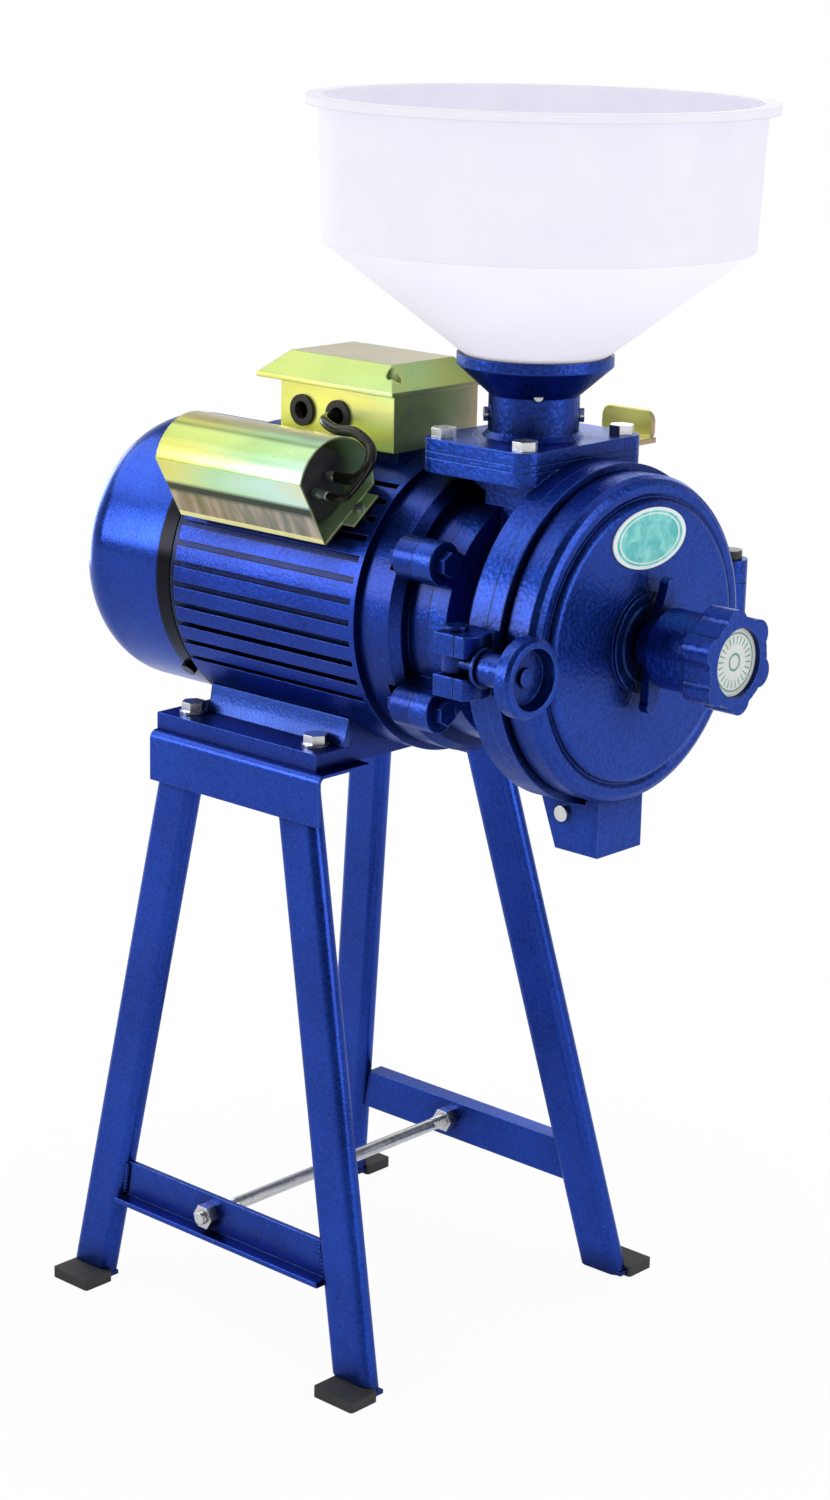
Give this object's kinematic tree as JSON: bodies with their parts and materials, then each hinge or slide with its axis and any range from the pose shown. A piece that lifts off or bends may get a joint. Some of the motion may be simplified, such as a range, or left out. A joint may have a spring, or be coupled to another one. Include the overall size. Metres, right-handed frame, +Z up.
{
  "type": "electric coffee and grain grinder",
  "caption": "Motor-driven disc mill on a splayed stand: finned motor, hinged grinding head with swing-bolt clamp, adjusting knob, gated feed throat and funnel hopper.",
  "frame": {"origin": "on the floor, under the middle of the overall box", "axes": "+X along the motor shaft towards the grinding head, +Z up, -Y the side with the capacitor and the swing bolt"},
  "size_m": [0.436, 0.2716, 0.721],
  "materials": {
    "stand_paint": "hammered metallic blue enamel on sheet steel",
    "motor_paint": "hammered metallic blue enamel on the cast frame",
    "sheet_paint": "hammered metallic blue enamel on drawn sheet",
    "cast_paint": "hammered metallic blue enamel on cast iron",
    "zinc_sheet": "yellow passivated zinc, slightly iridescent",
    "steel": "bright zinc plated",
    "rubber": "matt black",
    "black_plastic": "matt black",
    "black_metal": "black enamel",
    "lamination": "bare steel sheets",
    "copper": "varnished copper wire",
    "hard_iron": "ground cast iron",
    "white_plastic": "white moulded plastic",
    "white_disc": "white",
    "badge_film": "teal with a pale rim"
  },
  "bodies": {
    "machine": {"near_rail": "stand_paint", "far_rail": "stand_paint", "near_rear_leg": "stand_paint", "near_front_leg": "stand_paint", "far_rear_leg": "stand_paint", "far_front_leg": "stand_paint", "near_cross_bar": "stand_paint", "far_cross_bar": "stand_paint", "tie_rod": "steel", "tie_rod_nuts": "steel", "rubber_boots": "rubber", "foot_bolts": "steel", "motor_frame": "motor_paint", "front_end_shield": "motor_paint", "rear_end_shield": "motor_paint", "stator_core": "lamination", "stator_windings": "copper", "front_bearing": "steel", "rear_bearing": "steel", "fan_cover": "sheet_paint", "fan_cover_screws": "steel", "flange_bolts": "cast_paint", "terminal_box": "zinc_sheet", "terminal_box_lid": "zinc_sheet", "lid_screws": "steel", "cable_grommets": "rubber", "run_capacitor": "black_plastic", "capacitor_cover": "zinc_sheet", "capacitor_screws": "steel", "capacitor_leads": "black_plastic", "mill_body": "cast_paint", "mill_cover": "cast_paint", "fixed_disc": "hard_iron", "disc_screws": "steel", "hinge_pin": "black_metal", "pivot_pin": "cast_paint", "outlet_chute": "cast_paint", "chute_screws": "steel", "feed_throat": "cast_paint", "throat_bolts": "steel", "gate_guide": "cast_paint", "hopper": "white_plastic", "hopper_screws": "steel", "cover_badge": "badge_film"},
    "rotor": {"motor_shaft": "steel", "rotor_core": "lamination", "cooling_fan": "black_plastic", "feed_auger": "hard_iron", "disc_spring": "steel"},
    "grinding_disc": {"moving_disc": "hard_iron", "disc_carrier": "hard_iron"},
    "thrust": {"thrust_ball": "steel"},
    "adjuster": {"adjusting_screw": "steel", "adjusting_knob": "cast_paint", "knob_cap": "white_disc"},
    "lock_nut": {"wing_lock_nut": "cast_paint"},
    "clamp_bolt": {"swing_bolt": "cast_paint"},
    "clamp_plate": {"clamp_washer": "cast_paint"},
    "clamp_nut": {"hand_nut": "cast_paint"},
    "gate": {"feed_gate": "zinc_sheet"}
  },
  "joints": [
    {"name": "rotor_spin", "type": "hinge", "parent": "machine", "child": "rotor", "pos_m": [0.072, 0, 0.438], "axis": [1, 0, 0], "continuous": true},
    {"name": "disc_slide", "type": "slide", "parent": "rotor", "child": "grinding_disc", "axis": [1, 0, 0], "range_m": [-0.00119, 0.00252], "deforming": ["disc_spring"]},
    {"name": "adjust_slide", "type": "slide", "parent": "machine", "child": "thrust", "axis": [1, 0, 0], "range_m": [-0.00119, 0.00252]},
    {"name": "adjust_turn", "type": "hinge", "parent": "thrust", "child": "adjuster", "pos_m": [0.072, 0, 0.438], "axis": [1, 0, 0], "range_deg": [-170, 360]},
    {"name": "lock_nut_turn", "type": "hinge", "parent": "machine", "child": "lock_nut", "pos_m": [0.072, 0, 0.438], "axis": [1, 0, 0], "range_deg": [-30, 120]},
    {"name": "clamp_swing", "type": "hinge", "parent": "machine", "child": "clamp_bolt", "pos_m": [0.114, -0.107, 0.438], "axis": [0, 0, -1], "range_deg": [0, 110]},
    {"name": "clamp_plate_slide", "type": "slide", "parent": "clamp_bolt", "child": "clamp_plate", "axis": [1, 0, 0], "range_m": [0, 0.00602]},
    {"name": "hand_nut_turn", "type": "hinge", "parent": "clamp_plate", "child": "clamp_nut", "pos_m": [0.132, -0.107, 0.438], "axis": [1, 0, 0], "range_deg": [0, 1440]},
    {"name": "gate_slide", "type": "slide", "parent": "machine", "child": "gate", "axis": [0, 1, 0], "range_m": [-0.022, 0.028]}
  ],
  "couplings": [
    {"joint": "disc_slide", "follows": "adjust_turn", "m_per_rad": 0.00039789},
    {"joint": "adjust_slide", "follows": "adjust_turn", "m_per_rad": 0.00039789},
    {"joint": "clamp_plate_slide", "follows": "hand_nut_turn", "m_per_rad": 0.00023873}
  ]
}
